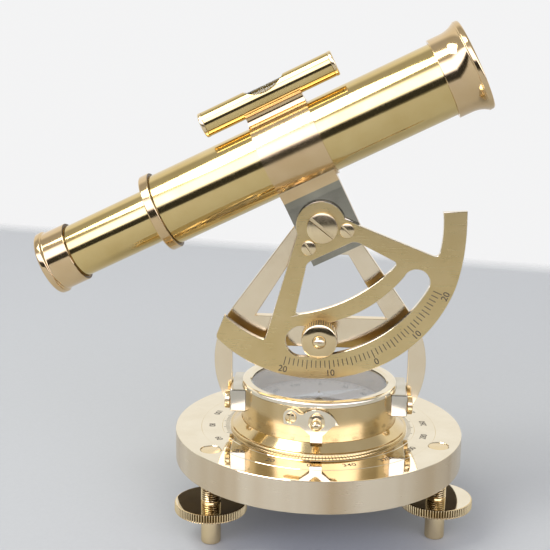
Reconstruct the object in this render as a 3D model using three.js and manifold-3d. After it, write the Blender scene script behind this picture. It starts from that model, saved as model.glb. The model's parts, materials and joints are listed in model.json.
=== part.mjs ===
// Small brass theodolite: a telescope with a spirit level tilts on an A-frame over a compass
// that turns on a round base plate with three levelling screws.
// Millimetres, +Z up. The origin is on the azimuth axis, at the base plate's underside.
// +X is towards the objective end, -Y is the side with the elevation sector.
import * as THREE from 'three';
import { mergeVertices } from 'three/addons/utils/BufferGeometryUtils.js';
import Module from 'manifold-3d';

const wasm = await Module();
wasm.setup();

// ---- driving dimensions ----
const BASE_R = 50;
const BASE_H = 11;

const FOOT_PITCH_R = 44;
const FOOT_ANGLES = [-142, -22, 98];
const STUD_R = 3.4;
const STUD_BORE_R = 3.5;
const STUD_TOP = 10.85;
const STUD_BOTTOM = -21.7;
const RIDGE_PITCH = 1.28;
const DISC_R = 12.1;
const DISC_TOP = -7;
const DISC_H = 3.2;
const DISC_TEETH = 48;

const RING_R = 30.9;
const RING_BOTTOM = 11.05;
const RING_TOP = 14.7;
const HOUSING_R = 26.85;
const HOUSING_BORE_R = 23.6;
const HOUSING_TOP = 26.4;
const FLOOR_TOP = 18.7;
const RIM_TOP = 28.3;
const GLASS_OPENING_R = 23.3;
const PIN_R = 3;

const LUG_OUT = 30.4;
const LUG_HALF_Y = 10;
const LUG_BOTTOM = 18.2;
const LUG_TOP = 26.3;
const LUG_SCREW_Y = 7;
const LUG_SCREW_Z = 21.8;

const PIVOT_Z = 83;
const FRAME_T = 3.6;
const FRAME_BOSS_R = 7.2;
const BULGE_R = 30.3;
const BULGE_X = 6.3;
const BULGE_Z = 34.6;
const CROSSBAR_TOP = 50.5;
const CROSSBAR_BOTTOM = 39.9;
const LEG_INNER_X = 30.4;

const TILT = 26.25;
const SECTOR_FRONT = -8.9;
const SECTOR_T = 2.4;
const SLOT_R = 37;
const PIVOT_SHANK_R = 2.5;
const PIVOT_BORE_R = 2.56;
const KNOB_R = 6;
const KNOB_T = 8;
const CLAMP_STUD_R = 2.2;

const TONGUE_FRONT = -6.45;
const TONGUE_BACK = -2;
const TONGUE_BOTTOM = -11.1;
const TONGUE_LEFT = -8.5;
const TONGUE_RIGHT = 11.5;
const AXIS_H = 26.65;
const SLEEVE_R = 13.45;
const SLEEVE_BORE_R = 12.65;
const SLEEVE_LEFT = -8.4;
const SLEEVE_RIGHT = 12.3;
const MAIN_R = 12.5;
const MAIN_BORE_R = 11.8;
const MAIN_LEFT = -48.3;
const MAIN_RIGHT = 59.8;
const COLLAR_R = 13.7;
const COLLAR_LEFT = -49.85;
const COLLAR_RIGHT = -46.55;
const DRAW_R = 9.3;
const DRAW_BORE_R = 8.6;
const DRAW_LEFT = -85;
const DRAW_RIGHT = -33;
const EYE_END = -91.85;
const CAP_RIGHT = -81;
const HOOD_LEFT = 55.5;
const HOOD_RIGHT = 67;
const LEVEL_H = 20;
const LEVEL_R = 4.25;
const LEVEL_LEFT = -22.6;
const LEVEL_RIGHT = 26.1;

// ---- colours ----
const BRASS = 0xd9bc7a;
const BRASS_LIGHT = 0xe3cc96;
const BRASS_DARK = 0xb08d4c;
const GLASS = 0xdfe8ea;
const CARD = 0xe6dcdc;
const STEEL = 0xc9ccd0;

// ---- facets round each turned piece ----
const BIG = 52;
const TUBE = 40;
const MID = 24;
const SMALL = 18;

const deg = THREE.MathUtils.degToRad;

const model = new THREE.Group();
const telescope = new THREE.Group();
telescope.position.set(0, 0, PIVOT_Z);
telescope.rotation.y = -deg(TILT);
model.add(telescope);

// ---- helpers ----
// Welds a geometry into one closed skin, drops collapsed triangles and turns it to face out.
function closed(geometry) {
  let g = geometry;
  g.deleteAttribute('normal');
  g.deleteAttribute('uv');
  g = mergeVertices(g, 1e-4);
  const p = g.attributes.position;
  const kept = [];
  let volume = 0;
  const a = new THREE.Vector3();
  const b = new THREE.Vector3();
  const c = new THREE.Vector3();
  for (let i = 0; i < g.index.count; i += 3) {
    const ia = g.index.getX(i);
    const ib = g.index.getX(i + 1);
    const ic = g.index.getX(i + 2);
    if (ia === ib || ib === ic || ia === ic) continue;
    kept.push(ia, ib, ic);
    a.fromBufferAttribute(p, ia);
    b.fromBufferAttribute(p, ib);
    c.fromBufferAttribute(p, ic);
    volume += a.dot(b.cross(c));
  }
  if (volume < 0) kept.reverse();
  g.setIndex(kept);
  return g;
}

function solid(geometry) {
  const g = closed(geometry);
  return new wasm.Manifold(new wasm.Mesh({
    numProp: 3,
    vertProperties: new Float32Array(g.attributes.position.array),
    triVerts: new Uint32Array(g.index.array),
  }));
}

function geometryOf(manifold) {
  const m = manifold.getMesh();
  const g = new THREE.BufferGeometry();
  g.setAttribute('position', new THREE.BufferAttribute(new Float32Array(m.vertProperties), 3));
  g.setIndex(new THREE.BufferAttribute(new Uint32Array(m.triVerts), 1));
  return g;
}

function cut(geometry, ...tools) {
  let body = solid(geometry);
  for (const tool of tools) body = body.subtract(solid(tool));
  return geometryOf(body);
}

function piece(name, geometry, colour, parent = model, roughness = 0.3, metalness = 1) {
  const g = closed(geometry);
  g.computeVertexNormals();
  const material = new THREE.MeshStandardMaterial({ color: colour, roughness, metalness });
  const mesh = new THREE.Mesh(g, material);
  mesh.name = name;
  parent.add(mesh);
  return mesh;
}

// A turned solid from [radius, height] pairs, about Z, X or Y.
function turned(profile, segments = 64, axis = 'z') {
  const points = profile.map(([r, h]) => new THREE.Vector2(r, h));
  const first = points[0];
  const last = points[points.length - 1];
  const onAxis = first.x === 0 && last.x === 0;
  if (!onAxis) points.push(first.clone());
  const g = new THREE.LatheGeometry(points, segments);
  if (axis === 'z') g.rotateX(Math.PI / 2);
  if (axis === 'x') g.rotateZ(-Math.PI / 2);
  return g;
}

function rod(radius, from, to, segments = 32, axis = 'z') {
  return turned([[0, from], [radius, from], [radius, to], [0, to]], segments, axis);
}

function ring(inner, outer, from, to, segments = 64, axis = 'z') {
  return turned([[inner, from], [outer, from], [outer, to], [inner, to]], segments, axis);
}

// A plate standing in the XZ plane, with its front face at the given y.
function plate(shape, front, thickness, bevel = 0, curveSegments = 24) {
  const g = new THREE.ExtrudeGeometry(shape, {
    depth: thickness - 2 * bevel,
    bevelEnabled: bevel > 0,
    bevelThickness: bevel,
    bevelSize: bevel,
    bevelOffset: -bevel,
    bevelSegments: 1,
    curveSegments,
  });
  g.rotateX(Math.PI / 2);
  g.translate(0, front + thickness - bevel, 0);
  return g;
}

function circlePath(x, y, radius) {
  const path = new THREE.Path();
  path.absarc(x, y, radius, 0, 2 * Math.PI, true);
  return path;
}

// A hexagon nut with a round bore, along Z from the given height.
function hexNut(radius, boreRadius, from, height) {
  const shape = new THREE.Shape();
  for (let i = 0; i < 6; i += 1) {
    const a = Math.PI * i / 3;
    if (i === 0) shape.moveTo(radius, 0);
    else shape.lineTo(radius * Math.cos(a), radius * Math.sin(a));
  }
  shape.closePath();
  shape.holes.push(circlePath(0, 0, boreRadius));
  const g = new THREE.ExtrudeGeometry(shape, { depth: height, bevelEnabled: false, curveSegments: 9 });
  g.translate(0, 0, from);
  return g;
}

function box(x0, x1, y0, y1, z0, z1) {
  const g = new THREE.BoxGeometry(x1 - x0, y1 - y0, z1 - z0);
  g.translate((x0 + x1) / 2, (y0 + y1) / 2, (z0 + z1) / 2);
  return g;
}

function knurledShape(radius, depth, teeth, boreRadius) {
  const shape = new THREE.Shape();
  for (let i = 0; i < 2 * teeth; i += 1) {
    const a = Math.PI * i / teeth;
    const r = i % 2 === 0 ? radius : radius - depth;
    if (i === 0) shape.moveTo(r, 0);
    else shape.lineTo(r * Math.cos(a), r * Math.sin(a));
  }
  shape.closePath();
  shape.holes.push(circlePath(0, 0, boreRadius));
  return shape;
}

// A slotted cheese head facing -Y with its seat at y = 0 and a shank behind it.
function slottedScrew(headR, headH, shankR, shankL, slotW, slotAngle, segments = 36) {
  const e = 0.3;
  const head = turned([[0, -headH], [headR - e, -headH], [headR, -headH + e], [headR, 0],
    [shankR, 0], [shankR, shankL], [0, shankL]], segments, 'y');
  const slot = box(-headR - 1, headR + 1, -headH - 1, -headH + 0.45 * headH, -slotW / 2, slotW / 2);
  slot.rotateY(-deg(slotAngle));
  return cut(head, slot);
}

// ---- base plate and levelling screws ----
function buildBase() {
  const profile = [[0, 0], [BASE_R - 0.5, 0], [BASE_R, 0.5], [BASE_R, BASE_H - 0.4],
    [BASE_R - 0.4, BASE_H]];
  profile.push([PIN_R + 0.2, BASE_H], [PIN_R + 0.2, 4], [0, 4]);
  const bores = FOOT_ANGLES.map((angle) => {
    const g = rod(STUD_BORE_R, -1, BASE_H + 1, SMALL);
    g.translate(FOOT_PITCH_R * Math.cos(deg(angle)), FOOT_PITCH_R * Math.sin(deg(angle)), 0);
    return g;
  });
  piece('base_plate', cut(turned(profile, BIG), ...bores), BRASS_LIGHT);

  const pin = [[0, 4.3], [PIN_R, 4.3], [PIN_R, 16.6], [2.2, 16.6], [2.2, 18.2], [0, 18.2]];
  piece('azimuth_pivot', turned(pin, SMALL), BRASS_DARK);
  piece('azimuth_nut', hexNut(5.2, 2.35, 16.75, 1.45), BRASS_DARK);
}

function buildLevellingScrew(index, angle) {
  const at = new THREE.Group();
  at.position.set(FOOT_PITCH_R * Math.cos(deg(angle)), FOOT_PITCH_R * Math.sin(deg(angle)), 0);
  model.add(at);
  const profile = [[0, STUD_BOTTOM], [STUD_R - 0.8, STUD_BOTTOM], [STUD_R, STUD_BOTTOM + 0.9],
    [STUD_R, DISC_TOP]];
  for (let i = 0; i < 6; i += 1) {
    const z = DISC_TOP + i * RIDGE_PITCH;
    profile.push([STUD_R - 0.35, z + RIDGE_PITCH / 2]);
    profile.push([STUD_R, z + RIDGE_PITCH]);
  }
  profile.push([STUD_R, STUD_TOP], [0, STUD_TOP]);
  piece('levelling_stud_' + index, turned(profile, SMALL), BRASS, at);

  const shape = knurledShape(DISC_R, 0.35, DISC_TEETH, STUD_R + 0.1);
  const disc = new THREE.ExtrudeGeometry(shape, {
    depth: DISC_H,
    bevelEnabled: false,
    curveSegments: SMALL / 2,
  });
  disc.translate(0, 0, DISC_TOP - DISC_H);
  piece('levelling_knob_' + index, disc, BRASS, at);
}

// ---- turntable and compass ----
function buildCompass() {
  piece('turntable_ring', turned([[PIN_R + 0.06, RING_BOTTOM], [RING_R, RING_BOTTOM],
    [RING_R, RING_BOTTOM + 0.8], [RING_R - 0.25, RING_BOTTOM + 1.05],
    [RING_R - 0.95, RING_BOTTOM + 1.05], [HOUSING_R + 0.1, RING_TOP],
    [PIN_R + 0.06, RING_TOP]], BIG), BRASS_LIGHT);

  const wall = turned([[PIN_R + 0.06, RING_TOP], [HOUSING_R, RING_TOP], [HOUSING_R, HOUSING_TOP],
    [HOUSING_BORE_R, HOUSING_TOP], [HOUSING_BORE_R, FLOOR_TOP], [6.5, FLOOR_TOP], [6.5, 16.4],
    [PIN_R + 0.06, 16.4]], BIG);
  const holes = [];
  for (const y of [-LUG_SCREW_Y, LUG_SCREW_Y]) {
    const left = rod(1.55, -28, -20, 12, 'x');
    left.translate(0, y, LUG_SCREW_Z);
    const right = rod(1.55, 20, 28, 12, 'x');
    right.translate(0, y, LUG_SCREW_Z);
    holes.push(left, right);
  }
  piece('compass_housing', cut(wall, ...holes), BRASS);

  piece('compass_bezel', turned([[24.6, HOUSING_TOP], [HOUSING_R, HOUSING_TOP],
    [HOUSING_R, RIM_TOP - 0.8], [HOUSING_R - 0.25, RIM_TOP - 0.25], [HOUSING_R - 0.9, RIM_TOP],
    [GLASS_OPENING_R + 0.9, RIM_TOP], [GLASS_OPENING_R, RIM_TOP - 1], [24.6, RIM_TOP - 1]], BIG),
  BRASS_LIGHT);
  piece('compass_glass', rod(24.4, HOUSING_TOP + 0.05, HOUSING_TOP + 0.75, BIG), GLASS, model, 0.05, 0);
  piece('compass_dial', rod(23.3, FLOOR_TOP, FLOOR_TOP + 0.6, BIG), CARD, model, 0.6, 0);

  const top = FLOOR_TOP + 0.6;
  piece('needle_pivot', turned([[0, top], [1.6, top], [1.2, top + 0.6], [0.45, top + 1],
    [0.45, top + 3.2], [0, top + 3.7]], 12), BRASS_DARK);
  const needle = new THREE.Shape();
  needle.moveTo(17, 0);
  needle.lineTo(0, 2.2);
  needle.lineTo(-17, 0);
  needle.lineTo(0, -2.2);
  needle.closePath();
  needle.holes.push(circlePath(0, 0, 0.6));
  const blade = new THREE.ExtrudeGeometry(needle, { depth: 0.5, bevelEnabled: false, curveSegments: 8 });
  const hub = ring(0.6, 1.7, 0, 1.1, 16);
  const needleSolid = geometryOf(solid(blade).add(solid(hub)));
  const needleMesh = piece('compass_needle', needleSolid, STEEL, model, 0.35, 0.6);
  needleMesh.position.z = top + 2;
  needleMesh.rotation.z = deg(28);
}

// ---- lug blocks that carry the A-frame, with their screws ----
function buildLug(side, name) {
  const w = LUG_HALF_Y;
  const r = 1.2;
  const shape = new THREE.Shape();
  shape.moveTo(-w + r, LUG_BOTTOM);
  shape.lineTo(w - r, LUG_BOTTOM);
  shape.absarc(w - r, LUG_BOTTOM + r, r, -Math.PI / 2, 0, false);
  shape.lineTo(w, LUG_TOP - r);
  shape.absarc(w - r, LUG_TOP - r, r, 0, Math.PI / 2, false);
  shape.lineTo(-w + r, LUG_TOP);
  shape.absarc(-w + r, LUG_TOP - r, r, Math.PI / 2, Math.PI, false);
  shape.lineTo(-w, LUG_BOTTOM + r);
  shape.absarc(-w + r, LUG_BOTTOM + r, r, Math.PI, 1.5 * Math.PI, false);
  const depth = LUG_OUT - 23.5;
  const block = new THREE.ExtrudeGeometry(shape, { depth, bevelEnabled: false, curveSegments: 4 });
  block.rotateX(Math.PI / 2);
  block.rotateZ(Math.PI / 2);
  block.translate(23.5, 0, 0);
  const tools = [rod(HOUSING_R + 0.05, 10, 40, BIG)];
  for (const y of [-LUG_SCREW_Y, LUG_SCREW_Y]) {
    const hole = rod(1.55, 20, 40, 12, 'x');
    hole.translate(0, y, LUG_SCREW_Z);
    tools.push(hole);
  }
  const lug = cut(block, ...tools);
  if (side < 0) lug.rotateZ(Math.PI);
  piece('lug_' + name, lug, BRASS_LIGHT);

  for (const [y, place] of [[-LUG_SCREW_Y, 'front'], [LUG_SCREW_Y, 'rear']]) {
    const screw = slottedScrew(3.2, 2, 1.25, 5.5, 0.9, side * 12, 24);
    screw.rotateZ(side * Math.PI / 2);
    const mesh = piece('lug_screw_' + name + '_' + place, screw, BRASS);
    mesh.position.set(side * (LUG_OUT + 0.02), y, LUG_SCREW_Z);
  }
}

// ---- needle lock on the housing's front ----
function buildNeedleLock() {
  const s = new THREE.Shape();
  s.moveTo(2, RING_TOP + 0.45);
  s.lineTo(2, 17.6);
  s.lineTo(5.1, 20.6);
  s.quadraticCurveTo(5.7, 21, 7.2, 21.1);
  s.quadraticCurveTo(4.6, 26.3, 0, 26.3);
  s.quadraticCurveTo(-2.4, 26.3, -4.2, 24.9);
  s.quadraticCurveTo(-5.2, 24.2, -6.2, 25);
  s.quadraticCurveTo(-7.2, 25.8, -8.6, 25.8);
  s.quadraticCurveTo(-10.9, 25.6, -11, 23.2);
  s.lineTo(-10.8, 20.6);
  s.lineTo(-5.6, 20.6);
  s.lineTo(-2, 17.6);
  s.lineTo(-2, RING_TOP + 0.45);
  s.closePath();
  const outline = plate(s, -32, 12, 0, 4);
  const shell = ring(HOUSING_R + 0.1, HOUSING_R + 1.6, RING_TOP, HOUSING_TOP + 3, BIG);
  let body = solid(outline).intersect(solid(shell));
  const hole = rod(1.3, -40, -20, 16, 'y');
  hole.translate(0, 0, 22.4);
  body = body.subtract(solid(hole));
  const screwAngle = -17.5;
  const screwHole = rod(1, -40, -20, 12, 'y');
  screwHole.rotateZ(deg(screwAngle));
  screwHole.translate(0, 0, 23.2);
  body = body.subtract(solid(screwHole));
  piece('latch_plate', geometryOf(body), BRASS_LIGHT);

  const head = slottedScrew(1.9, 0.9, 0.7, 1.4, 0.5, 80, 20);
  head.translate(0, -HOUSING_R - 1.65, 0);
  head.rotateZ(deg(screwAngle));
  const screw = piece('latch_screw', head, BRASS);
  screw.position.z = 23.2;

  const front = -HOUSING_R - 1.7;
  const profile = [[0, front - 5.3]];
  for (let i = 0; i <= 5; i += 1) {
    const a = deg(-65 + i * 25);
    profile.push([1.95 * Math.cos(a), front - 3.3 + 1.9 * Math.sin(a)]);
  }
  profile.push([1.2, front - 1.4], [1.5, front - 1], [2.7, front - 0.8], [2.7, front]);
  profile.push([1, front], [1, front + 1.5], [0, front + 1.5]);
  const knob = piece('latch_knob', turned(profile, SMALL, 'y'), BRASS);
  knob.position.z = 22.4;
}

// ---- A-frame ----
function buildFrame() {
  const rise = deg(35.66);
  const s = new THREE.Shape();
  const top = new THREE.Vector2(0, PIVOT_Z);
  const bulgeStart = rise;
  const bulgeEnd = -deg(28.5);
  s.moveTo(LEG_INNER_X, CROSSBAR_BOTTOM);
  s.lineTo(LEG_INNER_X, 21);
  s.quadraticCurveTo(LEG_INNER_X + 0.2, 19.6, 31.6, 19.4);
  const tipX = BULGE_X + BULGE_R * Math.cos(bulgeEnd);
  const tipZ = BULGE_Z + BULGE_R * Math.sin(bulgeEnd);
  s.quadraticCurveTo(32.5, 19.3, tipX, tipZ);
  s.absarc(BULGE_X, BULGE_Z, BULGE_R, bulgeEnd, bulgeStart, false);
  const tangent = rise;
  s.absarc(top.x, top.y, FRAME_BOSS_R, tangent, Math.PI - tangent, false);
  s.absarc(-BULGE_X, BULGE_Z, BULGE_R, Math.PI - bulgeStart, Math.PI - bulgeEnd, false);
  s.quadraticCurveTo(-32.5, 19.3, -31.6, 19.4);
  s.quadraticCurveTo(-LEG_INNER_X - 0.2, 19.6, -LEG_INNER_X, 21);
  s.lineTo(-LEG_INNER_X, CROSSBAR_BOTTOM);
  s.closePath();

  const slope = 0.613;
  const xAt = (z) => 15 + (62.7 - z) * slope;
  const windowTop = 72.6;
  const w = new THREE.Path();
  w.moveTo(-xAt(CROSSBAR_TOP), CROSSBAR_TOP);
  w.lineTo(-xAt(windowTop), windowTop);
  w.lineTo(xAt(windowTop), windowTop);
  w.lineTo(xAt(CROSSBAR_TOP), CROSSBAR_TOP);
  w.closePath();
  s.holes.push(w);
  s.holes.push(circlePath(0, PIVOT_Z, PIVOT_SHANK_R + 0.1));
  s.holes.push(circlePath(0, PIVOT_Z - SLOT_R, CLAMP_STUD_R + 0.1));
  piece('support_frame', plate(s, -FRAME_T / 2, FRAME_T, 0, 10), BRASS_LIGHT);

  const head = slottedScrew(5.15, 2.1, PIVOT_SHANK_R, 13.4, 1.3, -38, MID);
  const screw = piece('pivot_screw', head, BRASS_LIGHT);
  screw.position.set(0, SECTOR_FRONT - 0.1, PIVOT_Z);
  const nut = hexNut(4.6, PIVOT_SHANK_R + 0.1, FRAME_T / 2, 2.4);
  nut.rotateX(-Math.PI / 2);
  piece('pivot_nut', nut, BRASS).position.z = PIVOT_Z;

  const studEnd = SECTOR_FRONT - 0.15 - KNOB_T - 2;
  const dome = [[0, studEnd], [0.9, studEnd + 0.12], [1.6, studEnd + 0.5], [2.05, studEnd + 1.1],
    [CLAMP_STUD_R, studEnd + 1.9], [CLAMP_STUD_R, FRAME_T / 2], [3.9, FRAME_T / 2],
    [3.9, FRAME_T / 2 + 1.4], [0, FRAME_T / 2 + 1.4]];
  piece('clamp_stud', turned(dome, SMALL, 'y'), BRASS).position.z = PIVOT_Z - SLOT_R;
  const bush = ring(CLAMP_STUD_R + 0.1, 4, SECTOR_FRONT + SECTOR_T + 0.15, -FRAME_T / 2, SMALL, 'y');
  piece('clamp_bush', bush, BRASS).position.z = PIVOT_Z - SLOT_R;

  const knurl = knurledShape(KNOB_R, 0.35, 32, CLAMP_STUD_R + 0.1);
  const knob = plate(knurl, SECTOR_FRONT - 0.15 - KNOB_T, KNOB_T, 0.4, 10);
  piece('clamp_knob', knob, BRASS_LIGHT).position.z = PIVOT_Z - SLOT_R;
}

// ---- elevation sector, fixed to the telescope's tongue ----
// Its rim, slot and window are drawn about centres of their own, a little off the pivot.
function sectorOutline() {
  const leftEdge = (t) => [-9.76 - 0.671 * t, -0.741 * t];
  const rightEdge = (t) => [7.26 + 0.675 * t, -0.737 * t];
  const innerArc = (path, from, to) => path.absarc(-2.6, 2.1, 43, deg(from), deg(to), true);
  const s = new THREE.Shape();
  s.absarc(-2.93, -2.45, 48.89, deg(-158.5), deg(-45.94), false);
  s.quadraticCurveTo(39.19, -29.18, 45.3, -15);
  s.lineTo(38.1, -12);
  innerArc(s, -19.1, -37.1);
  s.quadraticCurveTo(30.5, -25.35, ...rightEdge(32.6));
  s.lineTo(...rightEdge(1));
  s.absarc(-0.27, 0.53, 8.37, deg(-9.2), deg(175), false);
  s.lineTo(...leftEdge(34.8));
  s.quadraticCurveTo(-34.25, -27.05, ...onCircle(-2.6, 2.1, 43, -139.4));
  innerArc(s, -139.4, -159);
  s.lineTo(-47.9, -18);
  s.quadraticCurveTo(-48.9, -18.9, ...onCircle(-2.93, -2.45, 48.89, -158.5));
  s.closePath();
  return s;
}

function onCircle(x, z, r, angle) {
  return [x + r * Math.cos(deg(angle)), z + r * Math.sin(deg(angle))];
}

function sectorSlot() {
  const slot = new THREE.Path();
  slot.absarc(-4.07, 5.26, 47.49, deg(243.5), deg(304.9), false);
  slot.absarc(20.5, -29.95, 4.5, deg(-55.1), deg(117.8), false);
  slot.absarc(-2.89, 14.38, 45.72, deg(-62.2), deg(-113.1), true);
  slot.absarc(-22.9, -32.5, 5.35, deg(66.9), deg(243.5), false);
  slot.closePath();
  return slot;
}

function sectorWindow() {
  const w = new THREE.Path();
  w.moveTo(-8, -8.65);
  w.quadraticCurveTo(-10.2, -8.7, -11, -10.5);
  w.lineTo(-19.5, -21.4);
  w.quadraticCurveTo(-21.2, -23.5, -18.9, -23.7);
  w.absarc(-3.74, 27.58, 53.48, deg(-106.5), deg(-70.6), false);
  w.quadraticCurveTo(18.2, -21.9, 16.6, -20);
  w.lineTo(9.6, -10.8);
  w.quadraticCurveTo(8.2, -8.8, 6.6, -8.65);
  w.closePath();
  return w;
}

function buildSector() {
  const s = sectorOutline();
  s.holes.push(sectorSlot());
  s.holes.push(sectorWindow());
  s.holes.push(circlePath(0, 0, PIVOT_BORE_R));
  for (const side of [-1, 1]) s.holes.push(circlePath(side * 7, -4.3, 1.4));
  piece('sector_plate', plate(s, SECTOR_FRONT, SECTOR_T, 0, 11), BRASS, telescope, 0.4);

  for (const [side, name, angle] of [[-1, 'left', -82], [1, 'right', -70]]) {
    const screw = slottedScrew(2.5, 1.1, 1.1, 4, 0.7, angle, SMALL);
    const mesh = piece('sector_screw_' + name, screw, BRASS_LIGHT, telescope);
    mesh.position.set(side * 7, SECTOR_FRONT - 0.05, -4.3);
  }
}

// ---- telescope ----
function buildTelescope() {
  const body = new THREE.Group();
  body.position.z = AXIS_H;
  telescope.add(body);

  // Casting: sleeve, tongue with filleted root and a saddle for the level.
  const t = new THREE.Shape();
  t.moveTo(TONGUE_FRONT, TONGUE_BOTTOM);
  t.lineTo(TONGUE_BACK, TONGUE_BOTTOM);
  t.lineTo(TONGUE_BACK, 10);
  t.quadraticCurveTo(TONGUE_BACK, 13.4, 3.5, 13.9);
  t.lineTo(3.5, 17.4);
  t.lineTo(-8.2, 17.4);
  t.lineTo(-8.2, 15.9);
  t.quadraticCurveTo(TONGUE_FRONT - 0.2, 12.8, TONGUE_FRONT, 9.4);
  t.closePath();
  const length = TONGUE_RIGHT - TONGUE_LEFT;
  const tongue = new THREE.ExtrudeGeometry(t, { depth: length, bevelEnabled: false, curveSegments: 6 });
  tongue.rotateX(Math.PI / 2);
  tongue.rotateZ(Math.PI / 2);
  tongue.translate(TONGUE_LEFT, 0, -AXIS_H);
  const sleeve = rod(SLEEVE_R, SLEEVE_LEFT, SLEEVE_RIGHT, TUBE, 'x');
  const saddle = box(SLEEVE_LEFT + 0.2, SLEEVE_RIGHT - 0.2, -3.3, 3.3, 12, 17);
  const bore = rod(SLEEVE_BORE_R, SLEEVE_LEFT - 5, SLEEVE_RIGHT + 5, TUBE, 'x');
  const cradle = rod(LEVEL_R + 0.15, -40, 40, MID, 'x');
  cradle.translate(0, 0, LEVEL_H);
  const pivotBore = rod(PIVOT_BORE_R, -20, 20, MID, 'y');
  pivotBore.translate(0, 0, -AXIS_H);
  let casting = solid(sleeve).add(solid(tongue)).add(solid(saddle));
  casting = casting.subtract(solid(bore)).subtract(solid(cradle)).subtract(solid(pivotBore));
  for (const side of [-1, 1]) {
    const hole = rod(1.4, -20, 20, 12, 'y');
    hole.translate(side * 7, 0, -AXIS_H - 4.3);
    casting = casting.subtract(solid(hole));
  }
  piece('telescope_bracket', geometryOf(casting), BRASS_LIGHT, body);

  piece('main_tube', ring(MAIN_BORE_R, MAIN_R, MAIN_LEFT, MAIN_RIGHT, TUBE, 'x'), BRASS, body, 0.2);
  piece('tube_collar', turned([[DRAW_R + 0.1, COLLAR_LEFT], [COLLAR_R - 0.3, COLLAR_LEFT],
    [COLLAR_R, COLLAR_LEFT + 0.3], [COLLAR_R, COLLAR_RIGHT - 0.2], [COLLAR_R - 0.2, COLLAR_RIGHT],
    [MAIN_R + 0.15, COLLAR_RIGHT], [MAIN_R + 0.15, MAIN_LEFT - 0.1], [DRAW_R + 0.1, MAIN_LEFT - 0.1]],
  TUBE, 'x'), BRASS_LIGHT, body);

  piece('draw_tube', ring(DRAW_BORE_R, DRAW_R, DRAW_LEFT, DRAW_RIGHT, 36, 'x'), BRASS, body, 0.2);
  piece('eyepiece_cap', turned([[4, EYE_END], [10.7, EYE_END], [11.2, EYE_END + 0.5],
    [11.2, EYE_END + 2.3], [10.45, EYE_END + 2.65], [10.45, CAP_RIGHT],
    [DRAW_R + 0.1, CAP_RIGHT], [DRAW_R + 0.1, DRAW_LEFT - 0.3],
    [9, DRAW_LEFT - 0.3], [9, EYE_END + 1.6], [5, EYE_END + 1.6]], 36, 'x'), BRASS_LIGHT, body);
  piece('eyepiece_lens', turned([[0, EYE_END + 1.9], [5, EYE_END + 2.1], [8.8, EYE_END + 2.8],
    [8.8, EYE_END + 4.4], [5, EYE_END + 5], [0, EYE_END + 5.2]], 24, 'x'), GLASS, body, 0.05, 0);

  piece('objective_hood', turned([[MAIN_R + 0.15, HOOD_LEFT], [13.7, HOOD_LEFT],
    [13.7, HOOD_LEFT + 5.2], [14, HOOD_LEFT + 7.1], [14.7, HOOD_LEFT + 8.5], [15.4, HOOD_LEFT + 9.3],
    [15.5, HOOD_LEFT + 9.5], [15.5, HOOD_RIGHT - 0.3], [15.2, HOOD_RIGHT], [14.5, HOOD_RIGHT],
    [12.5, HOOD_RIGHT - 3.2], [12.4, MAIN_RIGHT + 0.2],
    [MAIN_R + 0.15, MAIN_RIGHT + 0.2]], TUBE, 'x'), BRASS_LIGHT, body);
  piece('objective_lens', turned([[0, 59.9], [6, 60.15], [12.1, 60.9], [12.1, 62.1], [6, 62.8],
    [0, 63]], 24, 'x'), GLASS, body, 0.05, 0);
  piece('objective_ring', ring(11, 12.2, 62.4, 64, TUBE, 'x'), BRASS_DARK, body);
  return body;
}

// ---- spirit level ----
function buildLevel(body) {
  const level = new THREE.Group();
  level.position.z = LEVEL_H;
  body.add(level);
  const capT = 1.3;
  const windowBottom = 1.15;
  const cutterR = 10.15;
  const middle = (LEVEL_LEFT + LEVEL_RIGHT) / 2;
  const from = LEVEL_LEFT + capT + 0.05;
  const to = LEVEL_RIGHT - capT - 0.05;
  const tube = ring(LEVEL_R - 0.5, LEVEL_R, from, to, 28, 'x');
  const cutter = rod(cutterR, -10, 10, 40, 'y');
  cutter.translate(middle, 0, windowBottom + cutterR);
  piece('level_tube', cut(tube, cutter), BRASS, level, 0.2);
  for (const [side, name] of [[-1, 'left'], [1, 'right']]) {
    const out = side < 0 ? LEVEL_LEFT : LEVEL_RIGHT;
    const inward = -side;
    const cap = turned([[0, out], [LEVEL_R - 0.2, out], [LEVEL_R + 0.1, out + inward * 0.3],
      [LEVEL_R + 0.1, out + inward * capT], [LEVEL_R - 0.65, out + inward * capT],
      [LEVEL_R - 0.65, out + inward * (capT + 1.2)], [0, out + inward * (capT + 1.2)]], 24, 'x');
    piece('level_cap_' + name, cap, BRASS_LIGHT, level);
  }
  const v0 = LEVEL_LEFT + capT + 1.5;
  const v1 = LEVEL_RIGHT - capT - 1.5;
  const vialR = 3.45;
  const profile = [[0, v0], [2.2, v0 + 0.5], [vialR, v0 + 2], [vialR, v1 - 2], [2.2, v1 - 0.5], [0, v1]];
  piece('level_vial', turned(profile, 24, 'x'), GLASS, level, 0.05, 0);
}

buildBase();
FOOT_ANGLES.forEach((angle, i) => buildLevellingScrew(i + 1, angle));
buildCompass();
buildLug(-1, 'left');
buildLug(1, 'right');
buildNeedleLock();
buildFrame();
buildSector();
buildLevel(buildTelescope());

export default model;
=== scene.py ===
"""Looks of a small brass theodolite: telescope with spirit level and elevation sector on an A-frame,
over a compass, on a round base plate with three levelling screws.

Shapes are drawn in millimetres in the local axes of a place, a matrix that also scales them to metres.
"""

import math

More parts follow.
